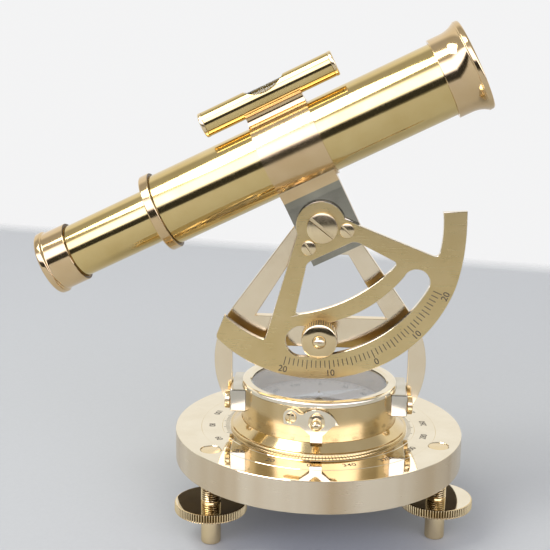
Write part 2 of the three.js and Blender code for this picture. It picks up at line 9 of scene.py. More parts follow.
import bmesh
import bpy
from mathutils import Matrix, Vector
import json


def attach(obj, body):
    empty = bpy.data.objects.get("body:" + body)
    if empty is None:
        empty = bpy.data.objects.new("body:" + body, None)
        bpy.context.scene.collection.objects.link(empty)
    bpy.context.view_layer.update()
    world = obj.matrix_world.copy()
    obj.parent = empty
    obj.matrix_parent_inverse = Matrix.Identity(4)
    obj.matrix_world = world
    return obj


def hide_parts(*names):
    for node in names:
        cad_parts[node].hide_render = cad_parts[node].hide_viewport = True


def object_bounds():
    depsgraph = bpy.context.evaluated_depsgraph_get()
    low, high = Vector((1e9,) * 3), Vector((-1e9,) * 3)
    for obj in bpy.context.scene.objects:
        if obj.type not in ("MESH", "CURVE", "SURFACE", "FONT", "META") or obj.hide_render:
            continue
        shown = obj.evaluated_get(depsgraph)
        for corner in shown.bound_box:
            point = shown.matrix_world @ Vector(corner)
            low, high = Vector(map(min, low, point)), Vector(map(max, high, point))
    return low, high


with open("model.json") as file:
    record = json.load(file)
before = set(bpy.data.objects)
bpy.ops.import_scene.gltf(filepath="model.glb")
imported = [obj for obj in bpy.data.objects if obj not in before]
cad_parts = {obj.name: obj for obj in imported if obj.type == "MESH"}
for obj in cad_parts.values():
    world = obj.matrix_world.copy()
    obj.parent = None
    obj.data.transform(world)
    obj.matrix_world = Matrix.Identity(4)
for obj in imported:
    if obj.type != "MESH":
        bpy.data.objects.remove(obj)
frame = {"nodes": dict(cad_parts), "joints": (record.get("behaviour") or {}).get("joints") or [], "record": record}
CAD_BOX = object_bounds()

MM = 0.001
ROUND = 192
SCALE = Matrix.Scale(MM, 4)
ALONG_X = Matrix.Rotation(math.pi / 2, 4, "Y")
ALONG_MINUS_Y = Matrix.Rotation(math.pi / 2, 4, "X")

BODY_OF = {n: body for body, nodes in frame["record"]["behaviour"]["bodies"].items() for n in nodes}
JOINTS = {joint["name"]: joint for joint in frame["joints"]}


# ---- places ----
def at(x=0.0, y=0.0, z=0.0):
    """A shift in millimetres."""
    return Matrix.Translation((x, y, z))


def turn(degrees, axis):
    return Matrix.Rotation(math.radians(degrees), 4, axis)


def span(node, place=SCALE):
    """Lowest and highest corner of a CAD node, in millimetres in the axes of a place."""
    back = place.inverted()
    points = [back @ v.co for v in frame["nodes"][node].data.vertices]
    low = Vector(min(p[i] for p in points) for i in range(3))
    high = Vector(max(p[i] for p in points) for i in range(3))
    return low, high


PIVOT_Z = JOINTS["telescope_elevation"]["pos_m"][2] / MM
DRAW_AXIS = JOINTS["eyepiece_draw"]["axis"]
TILT = math.degrees(math.atan2(DRAW_AXIS[2], DRAW_AXIS[0]))
SIGHT = SCALE @ at(z=PIVOT_Z) @ turn(-TILT, "Y")
TUBE_LOW, TUBE_HIGH = span("main_tube", SIGHT)
TUBE = SIGHT @ at(z=(TUBE_LOW.z + TUBE_HIGH.z) / 2)
CAP_LOW, CAP_HIGH = span("level_cap_left", TUBE)
LEVEL = TUBE @ at(z=CAP_LOW.z / 2 + CAP_HIGH.z / 2)
FEET = [span(f"levelling_stud_{i}") for i in (1, 2, 3)]


# ---- mesh helpers ----
def new_object(name, mesh, place):
    """An object whose local axes are the place's, with its mesh in metres."""
    mesh.transform(Matrix.Scale(MM, 4))
    obj = bpy.data.objects.new(name, mesh)
    bpy.context.scene.collection.objects.link(obj)
    location, rotation, _ = place.decompose()
    obj.matrix_world = Matrix.LocRotScale(location, rotation, None)
    return obj


def on_circle(centre, radius, degrees):
    angle = math.radians(degrees)
    return centre[0] + radius * math.cos(angle), centre[1] + radius * math.sin(angle)


def arc(cx, cy, radius, start, end, steps=24):
    """Points on an arc, with its angles in degrees."""
    return [on_circle((cx, cy), radius, start + (end - start) * i / steps) for i in range(steps + 1)]


def band(inner, outer, start, end):
    """The profile of a plain tube, or of a rod if its inner radius is 0."""
    return [(inner, start), (outer, start), (outer, end), (inner, end)]


def curve_through(p0, p1, p2, steps=8):
    """Points on a quadratic curve from p0 to p2 that bends towards p1."""
    points = []
    for i in range(steps + 1):
        t = i / steps
        a, b, c = (1 - t) ** 2, 2 * t * (1 - t), t * t
        points.append((a * p0[0] + b * p1[0] + c * p2[0], a * p0[1] + b * p1[1] + c * p2[1]))
    return points


def soften(profile, radius, steps=3, closed=False):
    """Rounds the corners of a profile. A corner on the axis stays as it is."""
    count = len(profile)
    result = []
    for i, point in enumerate(profile):
        inner = closed or 0 < i < count - 1
        if not inner or point[0] == 0:
            result.append(point)
            continue
        here = Vector(point)
        before = Vector(profile[i - 1])
        after = Vector(profile[(i + 1) % count])
        reach_in = min(radius, 0.45 * (here - before).length)
        reach_out = min(radius, 0.45 * (here - after).length)
        start = here + (before - here).normalized() * reach_in
        end = here + (after - here).normalized() * reach_out
        result += curve_through(start, here, end, steps)
    return result


def shade(obj, sharp=28):
    """Smooth shading, with crisp edges and true flats."""
    for polygon in obj.data.polygons:
        polygon.use_smooth = True
    obj.data.set_sharp_from_angle(angle=math.radians(sharp))
    flats = obj.modifiers.new("flats", "WEIGHTED_NORMAL")
    flats.keep_sharp = True
    flats.weight = 90
    return obj


def turned(name, profile, place, closed=False, segments=ROUND, radius_at=None):
    """Turns a profile of (radius, height) about the local Z axis.
    radius_at(angle, radius, height) may change the radius round the piece, as for a knurl or a thread."""
    mesh = bmesh.new()
    rings = []
    for radius, height in profile:
        if radius < 1e-9:
            rings.append([mesh.verts.new((0, 0, height))])
            continue
        ring = []
        for i in range(segments):
            a = 2 * math.pi * i / segments
            r = radius_at(a, radius, height) if radius_at else radius
            ring.append(mesh.verts.new((r * math.cos(a), r * math.sin(a), height)))
        rings.append(ring)
    pairs = list(zip(rings, rings[1:]))
    if closed:
        pairs.append((rings[-1], rings[0]))
    for lower, upper in pairs:
        for i in range(segments):
            j = (i + 1) % segments
            corners = [lower[i % len(lower)], lower[j % len(lower)]]
            corners += [upper[j % len(upper)], upper[i % len(upper)]]
            unique = list(dict.fromkeys(corners))
            if len(unique) > 2:
                mesh.faces.new(unique)
    bmesh.ops.recalc_face_normals(mesh, faces=mesh.faces)
    data = bpy.data.meshes.new(name)
    mesh.to_mesh(data)
    mesh.free()
    return new_object(name, data, place)


def settled(obj):
    """Replaces an object's mesh by what its modifiers make of it."""
    graph = bpy.context.evaluated_depsgraph_get()
    data = bpy.data.meshes.new_from_object(obj.evaluated_get(graph))
    obj.modifiers.clear()
    obj.data = data
    return obj


def boolean(obj, tools, operation="DIFFERENCE"):
    """Cuts tools out of a piece, joins them to it, or keeps what is in both."""
    for tool in tools:
        step = obj.modifiers.new("cut", "BOOLEAN")
        step.operation = operation
        step.solver = "EXACT"
        step.object = tool
        bpy.context.view_layer.update()
        settled(obj)
        bpy.data.objects.remove(tool)
    return obj


def plate(name, outline, holes, thickness, bevel, place):
    """A flat plate with its outline in local X and Y, from local z = 0 up, with rounded edges."""
    curve = bpy.data.curves.new(name, "CURVE")
    curve.dimensions = "2D"
    curve.fill_mode = "BOTH"
    curve.extrude = thickness / 2 - bevel
    curve.bevel_depth = bevel
    curve.bevel_resolution = 2
    curve.offset = -bevel
    for number, loop in enumerate([outline, *holes]):
        loop = without_doubles(loop)
        area = sum(a[0] * b[1] - a[1] * b[0] for a, b in zip(loop, loop[1:] + loop[:1]))
        if (area > 0) != (number == 0):
            loop = loop[::-1]
        spline = curve.splines.new("POLY")
        spline.points.add(len(loop) - 1)
        for point, (x, y) in zip(spline.points, loop):
            point.co = (x, y, 0, 1)
        spline.use_cyclic_u = True
    drawn = bpy.data.objects.new(name, curve)
    bpy.context.scene.collection.objects.link(drawn)
    graph = bpy.context.evaluated_depsgraph_get()
    mesh = bpy.data.meshes.new_from_object(drawn.evaluated_get(graph))
    bpy.data.objects.remove(drawn)
    mesh.transform(Matrix.Translation((0, 0, thickness / 2)))
    joined = bmesh.new()
    joined.from_mesh(mesh)
    bmesh.ops.remove_doubles(joined, verts=joined.verts, dist=1e-4)
    bmesh.ops.recalc_face_normals(joined, faces=joined.faces)
    joined.to_mesh(mesh)
    joined.free()
    return new_object(name, mesh, place)


def without_doubles(loop):
    """Drops points of a closed loop that lie on the one before."""
    kept = []
    for point in loop:
        if not kept or math.dist(point, kept[-1]) > 1e-4:
            kept.append(tuple(point))
    if math.dist(kept[0], kept[-1]) < 1e-4:
        kept.pop()
    return kept


def block(name, low, high, place, bevel=0.0):
    """A box between two corners, with rounded edges if asked."""
    mesh = bmesh.new()
    bmesh.ops.create_cube(mesh, size=1)
    middle = (Vector(low) + Vector(high)) / 2
    size = Vector(high) - Vector(low)
    bmesh.ops.scale(mesh, vec=size, verts=mesh.verts)
    bmesh.ops.translate(mesh, vec=middle, verts=mesh.verts)
    if bevel:
        bmesh.ops.bevel(mesh, geom=mesh.edges[:], offset=bevel, segments=3, affect="EDGES", profile=0.5)
    data = bpy.data.meshes.new(name)
    mesh.to_mesh(data)
    mesh.free()
    return new_object(name, data, place)


def cylinder(radius, start, end, place, segments=64):
    """A plain rod along local Z, used as a cutting tool."""
    return turned("tool", band(0, radius, start, end), place, segments=segments)


def into_row_axes(obj):
    """Moves the object's own axes onto the model's, leaving its shape where it is."""
    obj.data.transform(obj.matrix_world)
    obj.matrix_world = Matrix.Identity(4)
    return obj


def stands_for(obj, node, material, sharp=28):
    """Shows obj in place of a CAD node, on that node's body, with the given material."""
    shade(obj, sharp)
    obj.data.materials.clear()
    obj.data.materials.append(material)
    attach(obj, BODY_OF[node])
    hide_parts(node)
    return obj


def adds_to(obj, node, material):
    """Adds a detail that rides with a CAD node."""
    obj.data.materials.clear()
    obj.data.materials.append(material)
    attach(obj, BODY_OF[node])
    return obj


def finish_where(piece, material, test):
    """Gives the polygons that pass a test a material of their own: a finish, painted shade or a painted dark
    reflection.
    """
    number = len(piece.data.materials)
    piece.data.materials.append(material)
    for polygon in piece.data.polygons:
        if test(polygon):
            polygon.material_index = number


def ease_edges(obj, width, least_angle):
    """Rounds the edges that turn by more than an angle in degrees."""
    edge = obj.modifiers.new("edge", "BEVEL")
    edge.width = width * MM
    edge.segments = 2
    edge.angle_limit = math.radians(least_angle)
    settled(obj)


# ---- materials ----
class Nodes:
    """A short way to wire a node tree."""

    def __init__(self, name):
        self.material = bpy.data.materials.new(name)
        self.material.use_nodes = True
        self.tree = self.material.node_tree
        self.shader = self.tree.nodes["Principled BSDF"]

    def add(self, kind, **settings):
        node = self.tree.nodes.new(kind)
        for key, value in settings.items():
            setattr(node, key, value)
        return node

    def link(self, source, target):
        self.tree.links.new(source, target)

    def place(self):
        return self.add("ShaderNodeTexCoord").outputs["Object"]

    def math(self, operation, a, b=None):
        node = self.add("ShaderNodeMath", operation=operation)
        for socket, value in zip(node.inputs, (a, b)):
            if isinstance(value, (int, float)):
                socket.default_value = value
            elif value is not None:
                self.link(value, socket)
        return node.outputs[0]

    def noise(self, vector, scale, detail=3.0, roughness=0.55):
        node = self.add("ShaderNodeTexNoise")
        node.inputs["Scale"].default_value = scale
        node.inputs["Detail"].default_value = detail
        node.inputs["Roughness"].default_value = roughness
        self.link(vector, node.inputs["Vector"])
        return node.outputs["Fac"]

    def ranged(self, value, low, high, start=0.3, end=0.7):
        node = self.add("ShaderNodeMapRange")
        node.inputs["From Min"].default_value = start
        node.inputs["From Max"].default_value = end
        node.inputs["To Min"].default_value = low
        node.inputs["To Max"].default_value = high
        self.link(value, node.inputs["Value"])
        return node.outputs["Result"]

    def blend(self, factor, a, b):
        node = self.add("ShaderNodeMix", data_type="RGBA")
        self.link(factor, node.inputs["Factor"])
        node.inputs["A"].default_value = (*a, 1)
        node.inputs["B"].default_value = (*b, 1)
        return node.outputs["Result"]

    def bump(self, height, strength, distance):
        node = self.add("ShaderNodeBump")
        node.inputs["Strength"].default_value = strength
        node.inputs["Distance"].default_value = distance
        self.link(height, node.inputs["Height"])
        self.link(node.outputs["Normal"], self.shader.inputs["Normal"])


def mark_coordinates(n, marks):
    """Coordinates that run fast across the tool marks and slowly along them."""
    place = n.place()
    if marks == "turned":
        parts = n.add("ShaderNodeSeparateXYZ")
        n.link(place, parts.inputs[0])
        square_x = n.math("MULTIPLY", parts.outputs["X"], parts.outputs["X"])
        square_y = n.math("MULTIPLY", parts.outputs["Y"], parts.outputs["Y"])
        radius = n.math("SQRT", n.math("ADD", square_x, square_y))
        joined = n.add("ShaderNodeCombineXYZ")
        n.link(radius, joined.inputs["X"])
        n.link(parts.outputs["Z"], joined.inputs["Y"])
        n.link(n.math("MULTIPLY", parts.outputs["X"], 0.02), joined.inputs["Z"])
        return joined.outputs[0]
    if marks == "none":
        return place
    stretch = {"along_x": (0.03, 1, 1), "along_y": (1, 0.03, 1), "along_z": (1, 1, 0.03)}[marks]
    mapping = n.add("ShaderNodeMapping")
    mapping.inputs["Scale"].default_value = stretch
    n.link(place, mapping.inputs["Vector"])
    return mapping.outputs[0]


def brass(name, colour, tarnish, roughness, marks, depth, grain=9000, streak=0.0, painted_streaks=False):
    """Brass with tool marks, cloudy lacquer and slightly uneven colour.
    With painted_streaks the colour also varies in soft stripes along local Z: painted reflection streaks."""
    n = Nodes(name)
    place = n.place()
    clouds = n.noise(place, 90, 4)
    # Painted reflection streaks: soft vertical stripes of lighter and darker colour.
    if painted_streaks:
        stripes = n.add("ShaderNodeMapping")
        stripes.inputs["Scale"].default_value = (1, 1, 0.02)
        n.link(place, stripes.inputs["Vector"])
        clouds = n.noise(stripes.outputs[0], 38, 3, 0.6)
    n.link(n.blend(n.ranged(clouds, 0, 1), colour, tarnish), n.shader.inputs["Base Color"])
    marked = n.noise(mark_coordinates(n, marks), grain, 2)
    smudges = n.noise(place, 260, 5, 0.6)
    worn = n.math("ADD", n.ranged(smudges, 0, 0.35), n.ranged(marked, 0, 0.65))
    n.link(n.ranged(worn, roughness[0], roughness[1], 0.1, 0.9), n.shader.inputs["Roughness"])
    n.bump(marked, depth, 0.00002)
    n.shader.inputs["Metallic"].default_value = 1.0
    if streak:
        n.shader.inputs["Anisotropic"].default_value = streak
        around = n.add("ShaderNodeTangent", direction_type="RADIAL", axis="Z")
        n.link(around.outputs[0], n.shader.inputs["Tangent"])
    return n.material


def clear_glass(name, tint, roughness=0.02):
    n = Nodes(name)
    place = n.place()
    dust = n.noise(place, 500, 4)
    n.link(n.ranged(dust, roughness, roughness + 0.05), n.shader.inputs["Roughness"])
    n.shader.inputs["Base Color"].default_value = (*tint, 1)
    n.shader.inputs["Transmission Weight"].default_value = 1.0
    n.shader.inputs["IOR"].default_value = 1.45
    return n.material


def card(name):
    """Printed card with a faint paper grain."""
    n = Nodes(name)
    place = n.place()
    fibres = n.noise(place, 1500, 5)
    n.link(n.blend(n.ranged(fibres, 0, 1), CARD, CARD_SHADE), n.shader.inputs["Base Color"])
    n.link(n.ranged(fibres, 0.5, 0.7), n.shader.inputs["Roughness"])
    n.bump(fibres, 0.2, 0.00003)
    return n.material


def paint(name, colour):
    """Paint or wax, a little uneven."""
    n = Nodes(name)
    place = n.place()
    patches = n.noise(place, 2500, 3)
    lighter = tuple(min(1, c * 2.2 + 0.02) for c in colour)
    n.link(n.blend(n.ranged(patches, 0, 1), colour, lighter), n.shader.inputs["Base Color"])
    n.link(n.ranged(patches, 0.45, 0.7), n.shader.inputs["Roughness"])
    n.shader.inputs["Specular IOR Level"].default_value = 0.1
    return n.material


BRASS = (0.73, 0.56, 0.25)
BRASS_TARNISH = (0.66, 0.49, 0.2)
ROSE = (0.74, 0.55, 0.31)
ROSE_TARNISH = (0.67, 0.48, 0.25)
HONEY = (0.84, 0.68, 0.41)
HONEY_TARNISH = (0.77, 0.6, 0.34)
BLUSH = (0.92, 0.81, 0.62)
BLUSH_DARK_STREAK = (0.56, 0.41, 0.23)
GOLD = (0.74, 0.58, 0.32)
GOLD_TARNISH = (0.68, 0.51, 0.26)
BRONZE = (0.5, 0.35, 0.15)
NICKEL = (0.66, 0.61, 0.5)
NICKEL_TARNISH = (0.54, 0.49, 0.38)
SAND = (0.85, 0.72, 0.5)
SAND_TARNISH = (0.79, 0.65, 0.43)
PALE = (0.87, 0.78, 0.6)
PALE_TARNISH = (0.81, 0.71, 0.52)
DULL = (0.3, 0.22, 0.1)
DULL_TARNISH = (0.22, 0.15, 0.06)
SHADE_UMBER = (0.1, 0.062, 0.02)
SHADE_UMBER_MOTTLE = (0.07, 0.04, 0.012)
REFLECTION_SLATE = (0.36, 0.34, 0.26)
REFLECTION_SLATE_MOTTLE = (0.25, 0.235, 0.18)
KHAKI = (0.7, 0.54, 0.26)
KHAKI_TARNISH = (0.64, 0.48, 0.21)
INK = (0.035, 0.028, 0.02)
CHALK = (0.72, 0.71, 0.68)
CARD = (0.8, 0.72, 0.67)
CARD_SHADE = (0.73, 0.65, 0.6)

POLISHED = brass("brass_polished", ROSE, ROSE_TARNISH, (0.06, 0.14), "none", 0.03)
SLEEVE_BRASS = brass("brass_sleeve", ROSE, ROSE_TARNISH, (0.12, 0.2), "none", 0.03)
# Dark grey brass for the tongue's faces: a painted dark reflection.
TONGUE_PAINTED_REFLECTION = brass("brass_tongue_painted_reflection", REFLECTION_SLATE, REFLECTION_SLATE_MOTTLE, (0.08, 0.2), "none", 0.05)
TUBE_BRASS = brass("brass_drawn_tube", BRASS, BRASS_TARNISH, (0.06, 0.13), "turned", 0.05)
TURNED = brass("brass_turned", HONEY, HONEY_TARNISH, (0.12, 0.24), "turned", 0.2, 5000, 0.3)
MIRROR = brass("brass_mirror", PALE, PALE_TARNISH, (0.03, 0.08), "turned", 0.03)
STRIPED = {"marks": "turned", "depth": 0.05, "grain": 3000, "painted_streaks": True}
SATIN_TURNED = brass("brass_satin_turned", BLUSH, BLUSH_DARK_STREAK, (0.2, 0.28), streak=0.5, **STRIPED)
HONEY_TURNED = brass("brass_honey_turned", GOLD, BRONZE, (0.13, 0.2), streak=0.4, **STRIPED)
LUG_METAL = brass("brass_plated", NICKEL, NICKEL_TARNISH, (0.06, 0.15), "none", 0.05)
HONEY_POLISHED = brass("brass_honey_polished", GOLD, GOLD_TARNISH, (0.07, 0.15), "turned", 0.05)
SATIN_FLAT = brass("brass_satin_flat", KHAKI, KHAKI_TARNISH, (0.26, 0.34), "along_x", 0.06, 4000)
PALE_POLISHED = brass("brass_pale_polished", PALE, PALE_TARNISH, (0.06, 0.15), "none", 0.05)
SOFT_POLISHED = brass("brass_soft_polished", SAND, SAND_TARNISH, (0.1, 0.2), "along_z", 0.06, 3000)
DULL_BRASS = brass("brass_dull", DULL, DULL_TARNISH, (0.3, 0.5), "turned", 0.3)
# Near-black brass that paints shade into grooves, thread roots, the base's underside and shaded end faces.
SHADED_BRASS = brass("brass_painted_shade", SHADE_UMBER, SHADE_UMBER_MOTTLE, (0.3, 0.45), "none", 0.2)
CLEAR = clear_glass("glass_clear", (0.96, 0.98, 0.98))
VIAL = clear_glass("glass_vial", (0.78, 0.82, 0.8))
PRINTED = card("compass_card")
BLACK = paint("engraving_black", INK)
NEEDLE = paint("needle_white", CHALK)


# ---- base plate and levelling screws ----
BASE_HIGH = span("base_plate")[1]
BASE_TOP = BASE_HIGH.z
STUD_R = (FEET[0][1].x - FEET[0][0].x) / 2
CIRCLES = (41.0, 33.7)
GROOVE_HALF_WIDTH = 0.17
GROOVE_DEPTH = 0.16
RECESS_R = 3.3
RECESS_DEPTH = 6
PIN_BORE_R = 3.1


def stud_bore(foot):
    middle = (foot[0] + foot[1]) / 2
    r = STUD_R + 0.09
    rim, above = r + 0.3, BASE_TOP + 2
    profile = [(0, -2), (r, -2), (r, BASE_TOP - 0.2), (rim, BASE_TOP + 0.1), (rim, above), (0, above)]
    return turned("tool", profile, SCALE @ at(middle.x, middle.y), segments=96)


def base_plate():
    profile = soften(band(0, BASE_HIGH.x, 0, BASE_TOP), 0.45)[:-1]
    for r in CIRCLES:
        profile.append((r + GROOVE_HALF_WIDTH, BASE_TOP))
        profile.append((r, BASE_TOP - GROOVE_DEPTH))
        profile.append((r - GROOVE_HALF_WIDTH, BASE_TOP))
    recess_floor = BASE_TOP - RECESS_DEPTH
    profile += [(RECESS_R, BASE_TOP), (RECESS_R, recess_floor), (0, recess_floor)]
    plain = turned("base_plate_fine", profile, SCALE, segments=288)
    piece = boolean(plain, [stud_bore(foot) for foot in FEET])
    stands_for(piece, "base_plate", MIRROR)
    finish_where(piece, SATIN_TURNED, lambda polygon: abs(polygon.normal.z) < 0.3)
    # Painted shade on the underside.
    finish_where(piece, SHADED_BRASS, lambda polygon: polygon.normal.z < -0.9)


def levelling_stud(number, foot):
    low, high = foot
    place = SCALE @ at((low.x + high.x) / 2, (low.y + high.y) / 2)
    pitch = 0.8
    thread_from = span(f"levelling_knob_{number}")[1].z + 0.3
    thread_to = BASE_TOP - 3
    profile = soften([(0, low.z), (STUD_R, low.z), (STUD_R, thread_from - 0.4)], 0.7)
    rows = int((thread_to - thread_from) / pitch * 8)
    for i in range(rows + 1):
        profile.append((STUD_R, thread_from + (thread_to - thread_from) * i / rows))
    profile += soften([(STUD_R, thread_to + 0.4), (STUD_R, high.z), (0, high.z)], 0.15)

    def thread(angle, radius, height):
        if not thread_from < height < thread_to:
            return radius
        phase = (height / pitch - angle / (2 * math.pi)) % 1
        return radius - 0.38 * abs(2 * phase - 1)

    piece = turned(f"levelling_stud_{number}_fine", profile, place, segments=72, radius_at=thread)
    stands_for(piece, f"levelling_stud_{number}", TURNED, sharp=60)

    # Painted shade in the roots of the thread.
    def in_root(polygon):
        centre = polygon.center / MM
        threaded = thread_from < centre.z < thread_to
        return threaded and math.hypot(centre.x, centre.y) < STUD_R - 0.24

    finish_where(piece, SHADED_BRASS, in_root)


def darken_gaps(piece, radius, depth):
    """Paints shade into the bottoms of a knurl's grooves."""

    def in_groove(polygon):
        centre = polygon.center / MM
        away = math.hypot(centre.x, centre.y)
        return radius - depth - 0.05 < away < radius - depth * 0.55 and abs(polygon.normal.z) < 0.5

    finish_where(piece, SHADED_BRASS, in_groove)


def knurl(teeth, depth, low, high):
    """A straight knurl that fades out at both edges of the rim."""

    def radius_at(angle, radius, height):
        if not low <= height <= high:
            return radius
        return radius - depth * (0.5 - 0.5 * math.cos(angle * teeth)) ** 0.7

    return radius_at


def levelling_knob(number):
    low, high = span(f"levelling_knob_{number}")
    place = SCALE @ at((low.x + high.x) / 2, (low.y + high.y) / 2)
    radius = (high.x - low.x) / 2
    inner = STUD_R + 0.06
    rim = [(inner, low.z), (radius - 0.55, low.z), (radius - 0.2, low.z + 0.12), (radius, low.z + 0.4)]
    rim += [(radius, high.z - 0.4), (radius - 0.2, high.z - 0.12), (radius - 0.55, high.z), (inner, high.z)]
    teeth, depth = 84, 0.5
    shape = knurl(teeth, depth, low.z + 0.3, high.z - 0.3)
    piece = turned(f"levelling_knob_{number}_fine", rim, place, True, teeth * 8, shape)
    stands_for(piece, f"levelling_knob_{number}", TURNED, sharp=40)
    finish_where(piece, MIRROR, lambda polygon: abs(polygon.normal.z) > 0.95)
    darken_gaps(piece, radius, depth)


# ---- turntable and compass ----
RING_LOW, RING_HIGH = span("turntable_ring")
HOUSING_LOW, HOUSING_HIGH = span("compass_housing")
DIAL_LOW, DIAL_HIGH = span("compass_dial")
HOUSING_R = HOUSING_HIGH.x


def compass():
    r, z0, z1 = RING_HIGH.x, RING_LOW.z, RING_HIGH.z
    cone = [(PIN_BORE_R, z0), (r, z0), (r, z0 + 0.8), (r - 0.25, z0 + 1.05), (r - 0.95, z0 + 1.05)]
    cone += [(HOUSING_R + 0.2, z1), (PIN_BORE_R, z1)]
    ring = turned("turntable_ring_fine", soften(cone, 0.12, closed=True), SCALE, True, 288)
    stands_for(ring, "turntable_ring", HONEY_POLISHED)

    wall_in, shelf = DIAL_HIGH.x + 0.3, DIAL_LOW.z
    well_r, well_floor = 6.5, 16.4
    wall = [(PIN_BORE_R, HOUSING_LOW.z), (HOUSING_R, HOUSING_LOW.z), (HOUSING_R, HOUSING_HIGH.z)]
    wall += [(wall_in, HOUSING_HIGH.z), (wall_in, shelf), (well_r, shelf)]
    wall += [(well_r, well_floor), (PIN_BORE_R, well_floor)]
    housing = turned("compass_housing_fine", soften(wall, 0.06, closed=True), SCALE, True, 288)
    stands_for(housing, "compass_housing", HONEY_TURNED)

    low, rim = (corner.z for corner in span("compass_bezel"))
    opening, seat = 23.3, 24.6
    bezel = [(seat, low), (HOUSING_R, low), (HOUSING_R, rim - 0.75), (HOUSING_R - 0.25, rim - 0.22)]
    bezel += [(HOUSING_R - 0.85, rim), (opening + 0.9, rim), (opening, rim - 1), (seat, rim - 1)]
    piece = turned("compass_bezel_fine", soften(bezel, 0.2, closed=True), SCALE, True, 288)
    stands_for(piece, "compass_bezel", PALE_POLISHED)

    glass_low, glass_high = span("compass_glass")
    disc = soften(band(0, glass_high.x, glass_low.z, glass_high.z), 0.1)
    stands_for(turned("compass_glass_fine", disc, SCALE), "compass_glass", CLEAR)

    disc = soften(band(0, DIAL_HIGH.x, DIAL_LOW.z, DIAL_HIGH.z), 0.05)
    stands_for(turned("compass_dial_fine", disc, SCALE), "compass_dial", PRINTED)


def needle():
    low, high = span("compass_needle")
    heading = math.degrees(math.atan2(high.y - low.y, high.x - low.x)) - 0.6
    place = SCALE @ at(z=low.z) @ turn(heading, "Z")
    length = 16.9
    outline = [(length, 0), (0, 2.2), (-length, 0), (0, -2.2)]
    blade = plate("compass_needle_fine", outline, [], 0.5, 0.12, place)
    hub = soften([(0, 0), (1.7, 0), (1.7, 0.8), (0.9, 1.1), (0, 1.1)], 0.2)
    boolean(blade, [turned("tool", hub, place, segments=48)], "UNION")
    stands_for(blade, "compass_needle", NEEDLE)


# ---- screws and nuts ----
def slotted(name, head_radius, head_height, slot_width, slot_angle, place, shank=(1.0, 1.0), crown=0.0):
    """A slotted screw with its head along local +Z, its seat at z = 0 and its shank below."""
    profile = [(0, -shank[1]), (shank[0], -shank[1]), (shank[0], 0), (head_radius, 0)]
    profile.append((head_radius, head_height - crown))
    profile = soften(profile + [(0, head_height)], 0.22)
    if crown:
        profile.pop()
        start = profile[-1]
        for i in range(1, 9):
            t = i / 8
            profile.append((start[0] * (1 - t), start[1] + (head_height - start[1]) * (1 - (1 - t) ** 2)))
    head = turned(name, profile, place, segments=96)
    cutter = place @ turn(slot_angle, "Z")
    half = slot_width / 2
    depth = head_height * 0.5
    size = head_radius + 1
    slot = block("tool", (-size, -half, head_height - depth), (size, half, head_height + 1), cutter)
    return boolean(head, [slot])


def nut(name, across_corners, bore, low, high, place):
    """A hexagon nut along local Z, its corners turned back."""
    corners = [math.pi * i / 3 for i in range(6)]
    hexagon = [(across_corners * math.cos(a), across_corners * math.sin(a)) for a in corners]
    hole = arc(0, 0, bore, 0, 360, 48)
    body = plate(name, hexagon, [hole], high - low, 0.12, place @ at(z=low))
    narrow, wide, top = across_corners * 0.9, across_corners * 1.05, high + 0.05
    cone = [(0, low - 1), (narrow, low - 1), (wide, low + 0.7), (wide, high - 0.7), (narrow, top), (0, top)]
    return boolean(body, [turned("tool", soften(cone, 0.05), place, segments=96)], "INTERSECT")


# ---- lug blocks ----
def lug(side, name):
    low, high = span(f"lug_{name}")
    outward = SCALE @ turn(0 if side > 0 else 180, "Z")
    start, end = HOUSING_R - 2.5, max(abs(low.x), abs(high.x))
    piece = block(f"lug_{name}_fine", (start, low.y, low.z), (end, high.y, high.z), outward, 0.7)
    boolean(piece, [cylinder(HOUSING_R + 0.06, 10, 40, SCALE, 288)])
    stands_for(piece, f"lug_{name}", LUG_METAL)
    for end_name, y in (("front", -7), ("rear", 7)):
        node = f"lug_screw_{name}_{end_name}"
        a, b = span(node)
        seat = outward @ at(end + 0.02, side * y, (a.z + b.z) / 2) @ ALONG_X
        radius = (b.z - a.z) / 2
        screw = slotted(f"{node}_fine", radius, 2.0, 0.9, 78 if side > 0 else 102, seat, (1.25, 5.4), 0.35)
        stands_for(screw, node, TURNED)


# ---- needle lock on the housing's front ----
LATCH_Z = (span("latch_knob")[0].z + span("latch_knob")[1].z) / 2


def latch_outline():
    foot = RING_HIGH.z + 0.45
    right = [(2, foot), (2, 17.6), (5.1, 20.6)]
    right += curve_through((5.1, 20.6), (5.7, 21), (7.2, 21.1))
    right += curve_through((7.2, 21.1), (4.6, 26.3), (0, 26.3), 14)
    left = curve_through((0, 26.3), (-2.4, 26.3), (-4.2, 24.9))
    left += curve_through((-4.2, 24.9), (-5.2, 24.2), (-6.2, 25))
    left += curve_through((-6.2, 25), (-7.2, 25.8), (-8.6, 25.8))
    left += curve_through((-8.6, 25.8), (-10.9, 25.6), (-11, 23.2), 12)
    left += [(-10.8, 20.6), (-5.6, 20.6), (-2, 17.6), (-2, foot)]
    return right + left


